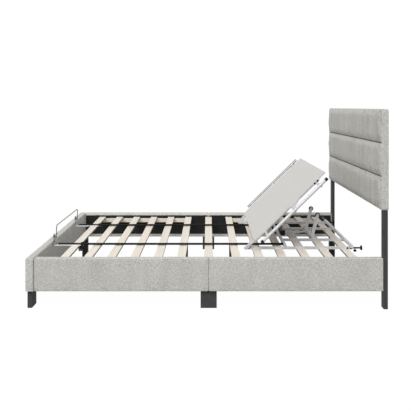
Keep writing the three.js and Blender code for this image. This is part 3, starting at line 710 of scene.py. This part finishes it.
# %% Foot rail cover
def foot_rail(seed):
    low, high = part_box("rail_cover_foot")
    board_low, board_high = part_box("rail_board_foot")
    thickness = high.x - low.x
    pocket_in = high.x - board_high.x - TOUCH
    pocket_out = high.x - board_low.x + TOUCH
    pocket_top = board_high.z + TOUCH
    bottom, top = low.z, high.z
    corners = [
        (0, bottom, 0),
        (pocket_in, bottom, 0),
        (pocket_in, pocket_top, 0),
        (pocket_out, pocket_top, 0),
        (pocket_out, bottom, 0),
        (thickness, bottom, 3 * MM),
        (thickness, top, 10 * MM),
        (0, top, 8 * MM),
    ]

    def in_mouth(depth, height):
        inside = pocket_in - NUDGE <= depth <= pocket_out + NUDGE
        return inside and height <= pocket_top + NUDGE

    def puff(along, depth, height, fade):
        rise = (height - bottom) / (top - bottom)
        broad, fine = waves(along, depth, height, seed)
        swell = (5.6 * rise * (1 - rise) + 0.8 * broad + 0.3 * fine) * MM * fade
        if depth > pocket_out:
            depth += swell
        elif depth < pocket_in:
            depth -= swell * 0.6
        if rise > 0.9:
            height += (0.7 * broad + 0.3 * fine) * MM * fade
        return depth, height

    def limit(depth, height, inset):
        depth = max(min(depth, thickness + 1.6 * MM - inset), inset - 1.2 * MM)
        return depth, min(height, top + 0.5 * MM - inset)

    def place(along, depth, height):
        return (high.x - depth, low.y + along, height)

    def shut(depth, height):
        return depth, bottom

    end_pad = board_low.y - low.y - TOUCH
    section = rounded_outline(corners, 14 * MM)
    rings = sweep_cover(section, in_mouth, shut, high.y - low.y, end_pad, place, puff, limit)
    piece = Workpiece().sweep(rings).deliver("linen_cover_foot", "bed", "linen")
    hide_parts("rail_cover_foot")


foot_rail(31.9)

# %% [markdown]
# ## The headboard's shell
# The headboard is a padded board: linen runs round its sides as one plain border, wraps to the
# back and is stapled there. The shell below is a rounded rectangle swept with a section that goes
# from behind the front padding, round the side and into the pocket for the board.

# %% Headboard shell
BORDER_FRONT = 9 * MM


def rectangle_path(half_width, bottom, top, radius, spacing):
    corners = [
        (-half_width, bottom, radius),
        (half_width, bottom, radius),
        (half_width, top, radius),
        (-half_width, top, radius),
    ]
    return rounded_outline(corners, spacing, turns=6)


def headboard_shell():
    low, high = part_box("headboard_cover")
    board_low, board_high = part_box("headboard_board")
    front = low.x + BORDER_FRONT
    pocket_front = board_low.x - 0.3 * MM
    rim = board_low.y - low.y - 0.3 * MM
    section = [(-34, front + 3 * MM)]
    for k in range(5):
        turn = math.pi / 2 * k / 4
        section.append((-8 + 8 * math.sin(turn), front + (8 - 8 * math.cos(turn)) * MM))
    for k in range(1, 4):
        section.append((0, front + 8 * MM + (high.x - front - 12 * MM) * k / 4))
    for k in range(4):
        turn = math.pi / 2 * k / 3
        section.append((-4 + 4 * math.cos(turn), high.x - (4 - 4 * math.sin(turn)) * MM))
    section.append((-rim / MM, high.x))
    section.append((-rim / MM, pocket_front))
    outer = rectangle_path(high.y, low.z, high.z, 14 * MM, 20 * MM)
    rings = []
    for inset, x in section:
        ring = []
        for point in outer:
            middle = Vector((0.0, (low.z + high.z) / 2))
            reach = Vector((high.y, (high.z - low.z) / 2))
            offset = point - middle
            scale_y = (reach.x + inset * MM) / reach.x
            scale_z = (reach.y + inset * MM) / reach.y
            y = offset.x * scale_y
            z = middle.y + offset.y * scale_z
            wave = ripple((x * 3, y, z), 0.15, 40.0) * 0.6 * MM if -2 < inset else 0.0
            ring.append((x, y + math.copysign(wave, y), z))
        rings.append(ring)
    piece = Workpiece().sweep(rings).deliver("linen_headboard_border", "bed", "linen")
    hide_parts("headboard_cover")
    return piece


headboard_shell()

# %% [markdown]
# ## The puffed channels
# The front is sewn into three channels of wadding. Each one starts as a flat cushion whose rim is
# held to the seams. Cloth simulation with pressure inside then blows it up: the middle rises, the
# rim stays, and the extra cloth gathers into small puckers beside the seams. The result is applied
# to the mesh, so no simulation is left in the file.

# %% Blow up a cushion
CHANNEL_GAP = 1.2 * MM
CHANNEL_COLUMNS, CHANNEL_ROWS = 150, 20
PUFF_FRAMES = 20
PUFF_LIMIT = 12 * MM


def channel_cushion(name, bottom, top, seed):
    low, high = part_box("headboard_cover")
    half_width = high.y - 2.5 * MM
    back = low.x + 13.2 * MM
    columns, rows = CHANNEL_COLUMNS, CHANNEL_ROWS
    points, rim = [], []
    for i in range(columns + 1):
        for k in range(rows + 1):
            across, rise = i / columns, k / rows
            y = -half_width + 2 * half_width * across
            z = bottom + (top - bottom) * rise
            edge_z = min(rise, 1 - rise) * (top - bottom)
            edge_y = min(across, 1 - across) * 2 * half_width
            lift = min(1.0, min(edge_z, edge_y) / (18 * MM))
            lift = math.sqrt(1 - (1 - lift) ** 2)
            depth = 2.5 * MM + 4.5 * MM * lift
            if 0 < i < columns and 0 < k < rows:
                depth += 0.4 * MM * ripple((y, z, seed), 0.03, seed)
            points.append((back - depth, y, z))
            rim.append(i in (0, columns) or k in (0, rows))
    faces = []
    for i in range(columns):
        for k in range(rows):
            a = i * (rows + 1) + k
            faces.append((a, a + 1, a + rows + 2, a + rows + 1))
    mesh = bpy.data.meshes.new(name)
    mesh.from_pydata(points, [], faces)
    mesh.polygons.foreach_set("use_smooth", [True] * len(faces))
    mesh.materials.append(finishes["linen_headboard"])
    piece = bpy.data.objects.new(name, mesh)
    scene.collection.objects.link(piece)
    blow_up(piece, rim, low.x - 2 * MM)
    close_back(piece, back, columns, rows)
    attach(piece, "bed")
    print("cushion", name, "front at", round(min(v.co.x for v in piece.data.vertices), 4))
    return piece


def blow_up(piece, rim, front_limit):
    held = piece.vertex_groups.new(name="held")
    held.add([i for i, on_rim in enumerate(rim) if on_rim], 1.0, "REPLACE")
    start = [vertex.co.copy() for vertex in piece.data.vertices]
    modifier = piece.modifiers.new("cloth", "CLOTH")
    settings = modifier.settings
    settings.quality = 6
    settings.mass = 0.3
    settings.tension_stiffness = 12
    settings.compression_stiffness = 12
    settings.bending_stiffness = 0.15
    settings.vertex_group_mass = "held"
    settings.shrink_min = -0.035
    settings.use_pressure = True
    settings.uniform_pressure_force = 2.6
    settings.effector_weights.gravity = 0
    for step in range(1, PUFF_FRAMES + 1):
        scene.frame_set(step)
    bpy.context.view_layer.update()
    graph = bpy.context.evaluated_depsgraph_get()
    puffed = piece.evaluated_get(graph).to_mesh()
    moved = [vertex.co.copy() for vertex in puffed.vertices]
    piece.evaluated_get(graph).to_mesh_clear()
    piece.modifiers.clear()
    piece.vertex_groups.clear()
    scene.frame_set(1)
    furthest = 0.0
    for vertex, old, new in zip(piece.data.vertices, start, moved):
        shift = new - old
        if shift.length > PUFF_LIMIT:
            shift = shift.normalized() * PUFF_LIMIT
        place = old + shift
        place.x = max(place.x, front_limit)
        furthest = max(furthest, shift.length)
        vertex.co = place
    print("   simulated", piece.name, "moved up to", round(furthest / MM, 1), "mm")


def close_back(piece, back, columns, rows):
    """Adds a flat back and the walls round the rim, all in quads, and smooths the whole."""
    points = [vertex.co.copy() for vertex in piece.data.vertices]
    count = len(points)
    points += [Vector((back, point.y, point.z)) for point in points]
    stride = rows + 1
    faces = []
    for i in range(columns):
        for k in range(rows):
            a = i * stride + k
            face = (a, a + 1, a + stride + 1, a + stride)
            faces.append(face)
            faces.append(tuple(index + count for index in reversed(face)))
    border = [k for k in range(rows)]
    border += [i * stride + rows for i in range(columns)]
    border += [columns * stride + k for k in range(rows, 0, -1)]
    border += [i * stride for i in range(columns, 0, -1)]
    for here, there in zip(border, border[1:] + border[:1]):
        faces.append((there, here, here + count, there + count))
    piece.data.clear_geometry()
    piece.data.from_pydata(points, [], faces)
    piece.data.polygons.foreach_set("use_smooth", [True] * len(faces))
    smooth = piece.modifiers.new("subdivision", "SUBSURF")
    smooth.levels = 1
    smooth.render_levels = 1


# %% [markdown]
# The three channels share the front equally, with a thread's width between them.

# %% Three channels
EDGE_GAP = 2.5 * MM
cover_low, cover_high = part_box("headboard_cover")
channel_height = (cover_high.z - cover_low.z - 2 * EDGE_GAP) / 3
for number in range(3):
    channel_bottom = cover_low.z + EDGE_GAP + number * channel_height + CHANNEL_GAP / 2
    channel_top = channel_bottom + channel_height - CHANNEL_GAP
    channel_cushion(f"headboard_channel_{number + 1}", channel_bottom, channel_top, 3.0 + number)

# %% [markdown]
# ## The seams between the channels
# A seam pulls the linen down to the backing, and the thread sits deep in the groove, which lies in shadow and
# reads as a dark line that stops at the plain border. It is a narrow twisted cord laid in each groove, coloured
# dark as painted shade.

# %% Seam cords
SEAM_STEPS = 240
SEAM_DEPTH = 9.6 * MM
for number in (1, 2):
    cord_z = cover_low.z + EDGE_GAP + number * channel_height
    half_length = cover_high.y - 6 * MM
    rings = []
    for k in range(SEAM_STEPS + 1):
        y = -half_length + 2 * half_length * k / SEAM_STEPS
        radius = 1.5 * MM + 0.2 * MM * math.sin(k * 1.9)
        ring = []
        for turn in range(8):
            angle = math.pi / 4 * turn
            x = cover_low.x + SEAM_DEPTH + radius * math.cos(angle)
            ring.append((x, y, cord_z + radius * math.sin(angle)))
        rings.append(ring)
    Workpiece().sweep(rings).deliver(f"headboard_seam_{number}", "bed", "linen", finish="seam")

# %% [markdown]
# ## The head panel's own directions
# The trim on the lifting panel is easiest to place in the panel's own directions: along it from
# the hinge, across it, and out of its top. The hinge and its angle come from the record's joint.

# %% Places on the panel
hinge = Vector(joints["head_lift"]["pos_m"])
panel_angle = -math.radians(joints["head_lift"]["range_deg"][0])
ALONG = Vector((math.cos(panel_angle), 0, math.sin(panel_angle)))
OUT = Vector((-math.sin(panel_angle), 0, math.cos(panel_angle)))
ACROSS = Vector((0, 1, 0))


def on_panel(along, across, out):
    return hinge + ALONG * along * MM + ACROSS * across * MM + OUT * out * MM


def panel_reach(name):
    alongs = [(v.co - hinge).dot(ALONG) / MM for v in nodes[name].data.vertices]
    return min(alongs), max(alongs)


board_start, board_end = panel_reach("head_board")
board_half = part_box("head_board")[1].y / MM
print("head board from", round(board_start, 1), "to", round(board_end, 1), "mm along the panel")

# %% [markdown]
# ## Caps on the wing tubes
# A tube beside the head board carries the edge of the mattress on each side. The near tube's ends
# have black sleeves that slip over the tube and end in a shallow dome, and the far tube's ends have
# flat plugs in its own colour, painted shade included. Distances here are in millimetres along the panel.

# %% Wing tube caps
WING_FROM, WING_TO, WING_RADIUS = 43, 595, 9.5
SLEEVE = [(-13, 0), (-13, 9.7), (-12, 10.1), (2, 10.3), (4, 9.6), (5.2, 7), (5.8, 4), (6, 0)]
PLUG = [(-1, 0), (-1, 7.8), (0.4, 9), (1.4, 8.4), (1.8, 5), (1.9, 0)]
wing_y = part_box("panel_frame")[1].y / MM - WING_RADIUS
for side, sign, shape_of_cap, finish in (
    ("near", -1, SLEEVE, "black_plastic"),
    ("far", 1, PLUG, "panel_steel_far_shade"),
):
    for end, along, way in (("foot", WING_FROM, -1), ("head", WING_TO, 1)):
        cap = Workpiece()
        profile = [(a * MM, r * MM) for a, r in shape_of_cap]
        cap.turn(profile, on_panel(board_start + along, sign * wing_y, 0), ALONG * way, 28)
        slot = "black_plastic" if side == "near" else "silver_steel"
        cap.deliver(f"wing_cap_{side}_{end}", "head_panel", slot, finish=finish)

# %% [markdown]
# ## Bolts
# The arms are bolted beside the board, and the straps through it. A bolt here is a washer with a
# hexagon head and a slightly domed top, all turned or pulled from small outlines.

# %% Bolt heads
def add_bolt(work, place, direction, size):
    """A washer and a hexagon head; size is the thread diameter in metres."""
    axis = Vector(direction).normalized()
    washer = [(0, 0), (0, size * 1.15), (size * 0.2, size * 1.15), (size * 0.24, 0)]
    work.turn(washer, place, axis, 20)
    side = axis.orthogonal().normalized()
    up = axis.cross(side)
    hexagon = [(math.cos(math.pi / 3 * k) * size * 0.95, math.sin(math.pi / 3 * k) * size * 0.95)
               for k in range(6)]
    work.prism(hexagon, Vector(place) + axis * size * 0.2, side, up, axis * size * 0.6)
    dome = [(0, 0), (0, size * 0.7), (size * 0.12, size * 0.55), (size * 0.18, 0)]
    work.turn(dome, Vector(place) + axis * size * 0.8, axis, 16)


STRAPS = (91, 320, 539)
BRACKET = [(0, 0), (52, 0), (52, 30), (36, 46), (16, 46), (0, 30)]
arm_bolts = Workpiece()
for side, sign in (("near", -1), ("far", 1)):
    bracket = Workpiece()
    start = on_panel(board_start + STRAPS[2] - 26, sign * (board_half + 3), -0.1)
    bracket.prism(BRACKET, start, ALONG * MM, ACROSS * sign * MM, OUT * 2 * MM)
    bracket.deliver(f"panel_bracket_{side}", "head_panel", "silver_steel", bevel=0.6 * MM)
    for offset in (-12, 12):
        spot = on_panel(board_start + STRAPS[2] + offset, sign * (board_half + 22), 1.9)
        add_bolt(arm_bolts, spot, OUT, 8 * MM)
arm_bolts.deliver("panel_arm_bolts", "head_panel", "black_steel")

strap_bolts = Workpiece()
for sign in (-1, 1):
    for strap in STRAPS:
        for reach in (110, 330):
            spot = on_panel(board_start + strap, sign * reach, -4.3)
            add_bolt(strap_bolts, spot, -OUT, 6 * MM)
strap_bolts.deliver("panel_strap_bolts", "head_panel", "silver_steel")

# %% [markdown]
# ## Gussets at the middle arm
# The middle arm carries most of the load, so a pressed steel gusset braces it against the board's
# edge on both sides.

# %% Gussets
GUSSET = [(0, 0), (86, 0), (80, 10), (0, 142)]
for side, sign in (("near", -1), ("far", 1)):
    gusset = Workpiece()
    start = on_panel(board_start + STRAPS[1] + 7, sign * (board_half - 40), -4)
    gusset.prism(GUSSET, start, ALONG * MM, ACROSS * sign * MM, OUT * 3 * MM)
    gusset.deliver(f"panel_gusset_{side}", "head_panel", "silver_steel", bevel=0.6 * MM)

# %% [markdown]
# ## Pins, hubs and rollers
# Push-on caps close the hinge pins, and riveted hubs hold each roller in its fork. They are turned
# pieces, and each rides on the body that really carries it.

# %% Hinge caps and roller hubs
PIN_END = 476.5 * MM
cap_profile = [(0, 0), (0, 6.5), (1.5, 7.2), (4, 6.8), (5.4, 4.5), (5.8, 0)]
for side, sign in (("near", -1), ("far", 1)):
    cap = Workpiece()
    spot = Vector((hinge.x, sign * PIN_END, hinge.z))
    cap.turn([(a * MM, r * MM) for a, r in cap_profile], spot, (0, sign, 0), 24)
    cap.deliver(f"hinge_cap_{side}", "bed", "silver_steel")

hub_profile = [(-0.6, 0), (-0.6, 7), (0.6, 7.4), (2.0, 6.6), (2.8, 4), (3.1, 0)]
for side, sign in (("near", -1), ("far", 1)):
    hubs = Workpiece()
    low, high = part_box(f"roller_{side}")
    centre = (low + high) / 2
    for way in (-1, 1):
        spot = centre + Vector((0, way * 8 * MM, 0))
        hubs.turn([(a * MM, r * MM) for a, r in hub_profile], spot, (0, way, 0), 24)
    hubs.deliver(f"roller_hubs_{side}", "lift_crank", "silver_steel")

# %% [markdown]
# ## The foot stop's clips
# Each bracket of the foot stop ends in a black clip that keeps its channel on the bar. Its section
# is an upside-down U. A pressed zinc plate stiffens the post on both sides, and two bolts and two
# ring clamps hold the wire to it.

# %% Foot stop clips and clamp bolts
POST_PLATE = [(0.5, 7.5), (22, 7.5), (22, 12), (16, 22), (16, 72), (12, 79), (4, 79), (0.5, 74)]
CLAMP = [(-2.5, 3.4), (-2.5, 5), (2.5, 5), (2.5, 3.4)]
for side, sign in (("near", -1), ("far", 1)):
    low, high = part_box(f"stop_bracket_{side}")
    centre_y = (low.y + high.y) / 2
    half = (high.y - low.y) / 2 / MM
    clip = Workpiece()
    base = low.z + 1 * MM
    outer, inner = half + 2.4, half + 0.3
    outline = [(-outer, 0), (-inner, 0), (-inner, 18.2), (inner, 18.2), (inner, 0), (outer, 0),
               (outer, 17), (outer - 2.8, 20.4), (2.8 - outer, 20.4), (-outer, 17)]
    clip.prism(outline, (high.x - 16 * MM, centre_y, base), (0, MM, 0), (0, 0, MM), (15 * MM, 0, 0))
    clip.deliver(f"stop_clip_{side}", "foot_stop", "black_plastic", bevel=0.8 * MM)
    plate = Workpiece()
    for way in (-1, 1):
        face_y = centre_y + way * (half + 0.2) * MM
        plate.prism(POST_PLATE, (low.x, face_y, low.z), (MM, 0, 0), (0, 0, MM), (0, way * 2 * MM, 0))
    plates = f"stop_plates_{side}"
    plate.deliver(plates, "foot_stop", "silver_steel", finish="zinc_steel", bevel=0.5 * MM)
    bolts = Workpiece()
    for rise in (30, 62):
        spot = (low.x + 8 * MM, centre_y - (half + 2.1) * MM, low.z + rise * MM)
        add_bolt(bolts, spot, (0, -1, 0), 4 * MM)
    bolts.deliver(f"stop_bolts_{side}", "foot_stop", "black_steel")
    ring = Workpiece()
    wire_x = low.x + 19.8 * MM
    for height in (322, 338):
        profile = [(a * MM, r * MM) for a, r in CLAMP]
        ring.turn(profile, (wire_x, centre_y, height * MM), (0, 0, 1), 20)
    ring.deliver(f"wire_clamps_{side}", "foot_stop", "silver_steel")

# %% [markdown]
# ## The head corner of the base frame
# At the head end the cross tube goes on in a short silver plug at the near end and in a long black
# sleeve at the far end. The long tubes are bolted to it, and a rubber pad sits under each bumper.

# %% Plugs, bolts and pads at the head
frame_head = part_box("base_frame")[1].x
TUBE_Y = 450 * MM
TUBE_HALF = 8 * MM
LONG_TUBE_Z = 280.3 * MM
CROSS_TUBE_Z = 295.3 * MM
CROSS_TUBE_END = 462 * MM
PLUG_HALF = 8.6 * MM
PAD_X, PAD_Z, PAD_STEM_Z = 955 * MM, 257 * MM, 266 * MM
PAD = [(0, 0), (0, 9), (2, 10), (9, 10), (11, 8), (11, 0)]
PAD_STEM = [(0, 0), (0, 3), (20, 3), (20, 0)]
for side, sign in (("near", -1), ("far", 1)):
    plug = Workpiece()
    half = PLUG_HALF
    square = [(-half, -half), (half, -half), (half, half), (-half, half)]
    centre = (frame_head - TUBE_HALF, sign * CROSS_TUBE_END, CROSS_TUBE_Z)
    reach, plug_slot = (26, "silver_steel") if side == "near" else (128, "black_plastic")
    plug.prism(square, centre, (1, 0, 0), (0, 0, 1), (0, sign * reach * MM, 0))
    plug.deliver(f"cross_tube_plug_{side}", "bed", plug_slot, bevel=1.2 * MM)
    corner = Workpiece()
    for x in (905 * MM, 927 * MM):
        spot = (x, sign * (TUBE_Y + TUBE_HALF), LONG_TUBE_Z)
        add_bolt(corner, spot, (0, sign, 0), 5 * MM)
    corner.deliver(f"corner_bolts_{side}", "bed", "black_steel")
    pad = Workpiece()
    for profile, z, sides in ((PAD, PAD_Z, 24), (PAD_STEM, PAD_STEM_Z, 12)):
        profile = [(a * MM, r * MM) for a, r in profile]
        pad.turn(profile, (PAD_X, sign * TUBE_Y, z), (0, 0, 1), sides)
    pad.deliver(f"corner_pad_{side}", "bed", "rubber")

# %% [markdown]
# ## Screws, staples and plate bolts
# One screw holds every slat's end to its ledger, and bolts join the side rails at the middle
# plate. They are tiny, but they are what makes the bed look made.

# %% Slat screws
screws = Workpiece()
screw_profile = [(-0.2, 0), (-0.2, 4.2), (0.5, 4.0), (1.1, 2.6), (0.6, 1.0), (0.5, 0)]
for number in range(1, 14):
    low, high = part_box(f"slat_{number:02d}")
    for sign in (-1, 1):
        spot = ((low.x + high.x) / 2, sign * (high.y - 8 * MM), high.z)
        screws.turn([(a * MM, r * MM) for a, r in screw_profile], spot, (0, 0, 1), 16)
screws.deliver("slat_screws", "bed", "black_steel")

plate_bolts = Workpiece()
for side, sign in (("near", -1), ("far", 1)):
    low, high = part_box(f"joint_plate_{side}")
    face = min(abs(low.y), abs(high.y))
    for share in (0.1, 0.36, 0.64, 0.9):
        spot = (low.x + (high.x - low.x) * share, sign * face, (low.z + high.z) / 2)
        add_bolt(plate_bolts, spot, (0, -sign, 0), 6 * MM)
plate_bolts.deliver("joint_plate_bolts", "bed", "black_steel")

# %% [markdown]
# ## Staples
# A row of staples holds the linen on the back of the headboard. They follow the rim at an even
# pitch, each one a thin bar that lies along the row.

# %% Headboard staples
STAPLE_INSET = 19 * MM
STAPLE_PITCH = 42 * MM
staples = Workpiece()
low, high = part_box("headboard_cover")
row_half, row_low, row_high = high.y - STAPLE_INSET, low.z + STAPLE_INSET, high.z - STAPLE_INSET
loop = rectangle_path(row_half, row_low, row_high, 4 * MM, STAPLE_PITCH)
for index, point in enumerate(loop):
    following = loop[(index + 1) % len(loop)]
    if (following - point).length < 20 * MM:
        continue
    way = (following - point).normalized()
    middle = (point + following) / 2
    right, up = Vector((0, way.x, way.y)), Vector((0, -way.y, way.x))
    start = Vector((high.x - 0.1 * MM, middle.x, middle.y))
    outline = [(-6 * MM, -0.4 * MM), (6 * MM, -0.4 * MM), (6 * MM, 0.4 * MM), (-6 * MM, 0.4 * MM)]
    staples.prism(outline, start, right, up, (0.7 * MM, 0, 0))
staples.deliver("headboard_staples", "bed", "silver_steel")

# %% [markdown]
# ## Light
# A plain studio: one wide soft key light from the front, above and a little to the foot side, and
# an even sky that is dimmer from below.

# %% Sky and key light
SKY_ABOVE = 0.62
SKY_BELOW = 0.34
world = bpy.data.worlds.new("studio")
world.use_nodes = True
scene.world = world
sky = Field(world.node_tree)
direction = sky.node("ShaderNodeTexCoord", output="Generated")
height_in_sky = (direction.part("Z") * 1.6 + 0.55).limited()
below = (SKY_BELOW, SKY_BELOW, SKY_BELOW, 1.0)
above = (SKY_ABOVE, SKY_ABOVE, SKY_ABOVE, 1.0)
backlight = world.node_tree.nodes["Background"]
feed(world.node_tree, backlight.inputs["Color"], height_in_sky.between(below, above))

key_data = bpy.data.lights.new("key", "SUN")
key_data.energy = 2.1
key_data.angle = math.radians(38)
key = bpy.data.objects.new("key", key_data)
key.rotation_euler = Vector((-0.307, -0.653, 0.692)).to_track_quat("Z", "Y").to_euler()
scene.collection.objects.link(key)

# %% [markdown]
# ## Floor and backdrop
# The floor and the backdrop are white and glow by themselves, and neither throws its light onto the
# bed, so the underside stays in its own shade.


# %% Floor and backdrop
def glowing_white(name, glow, body):
    made = bpy.data.materials.new(name)
    made.use_nodes = True
    shader = made.node_tree.nodes["Principled BSDF"]
    shader.inputs["Base Color"].default_value = (body, body, body, 1)
    shader.inputs["Roughness"].default_value = 1.0
    shader.inputs["Specular IOR Level"].default_value = 0.0
    shader.inputs["Emission Color"].default_value = (1, 1, 1, 1)
    shader.inputs["Emission Strength"].default_value = glow
    return made


def stage_piece(name, build, finish):
    mesh = bpy.data.meshes.new(name)
    shape = bmesh.new()
    build(shape)
    shape.to_mesh(mesh)
    shape.free()
    mesh.materials.append(finish)
    piece = bpy.data.objects.new(name, mesh)
    scene.collection.objects.link(piece)
    for way in ("diffuse", "glossy", "transmission", "shadow"):
        setattr(piece, f"visible_{way}", False)
    return piece


floor = stage_piece(
    "floor",
    lambda shape: bmesh.ops.create_circle(shape, cap_ends=True, segments=64, radius=30),
    glowing_white("floor_white", 0.975, 0.035),
)
floor.location.z = -0.002
stage_piece(
    "backdrop",
    lambda shape: bmesh.ops.create_icosphere(shape, subdivisions=4, radius=40),
    glowing_white("backdrop_white", 1.05, 0.0),
)
scene.view_settings.view_transform = "Standard"
print("stage ready")
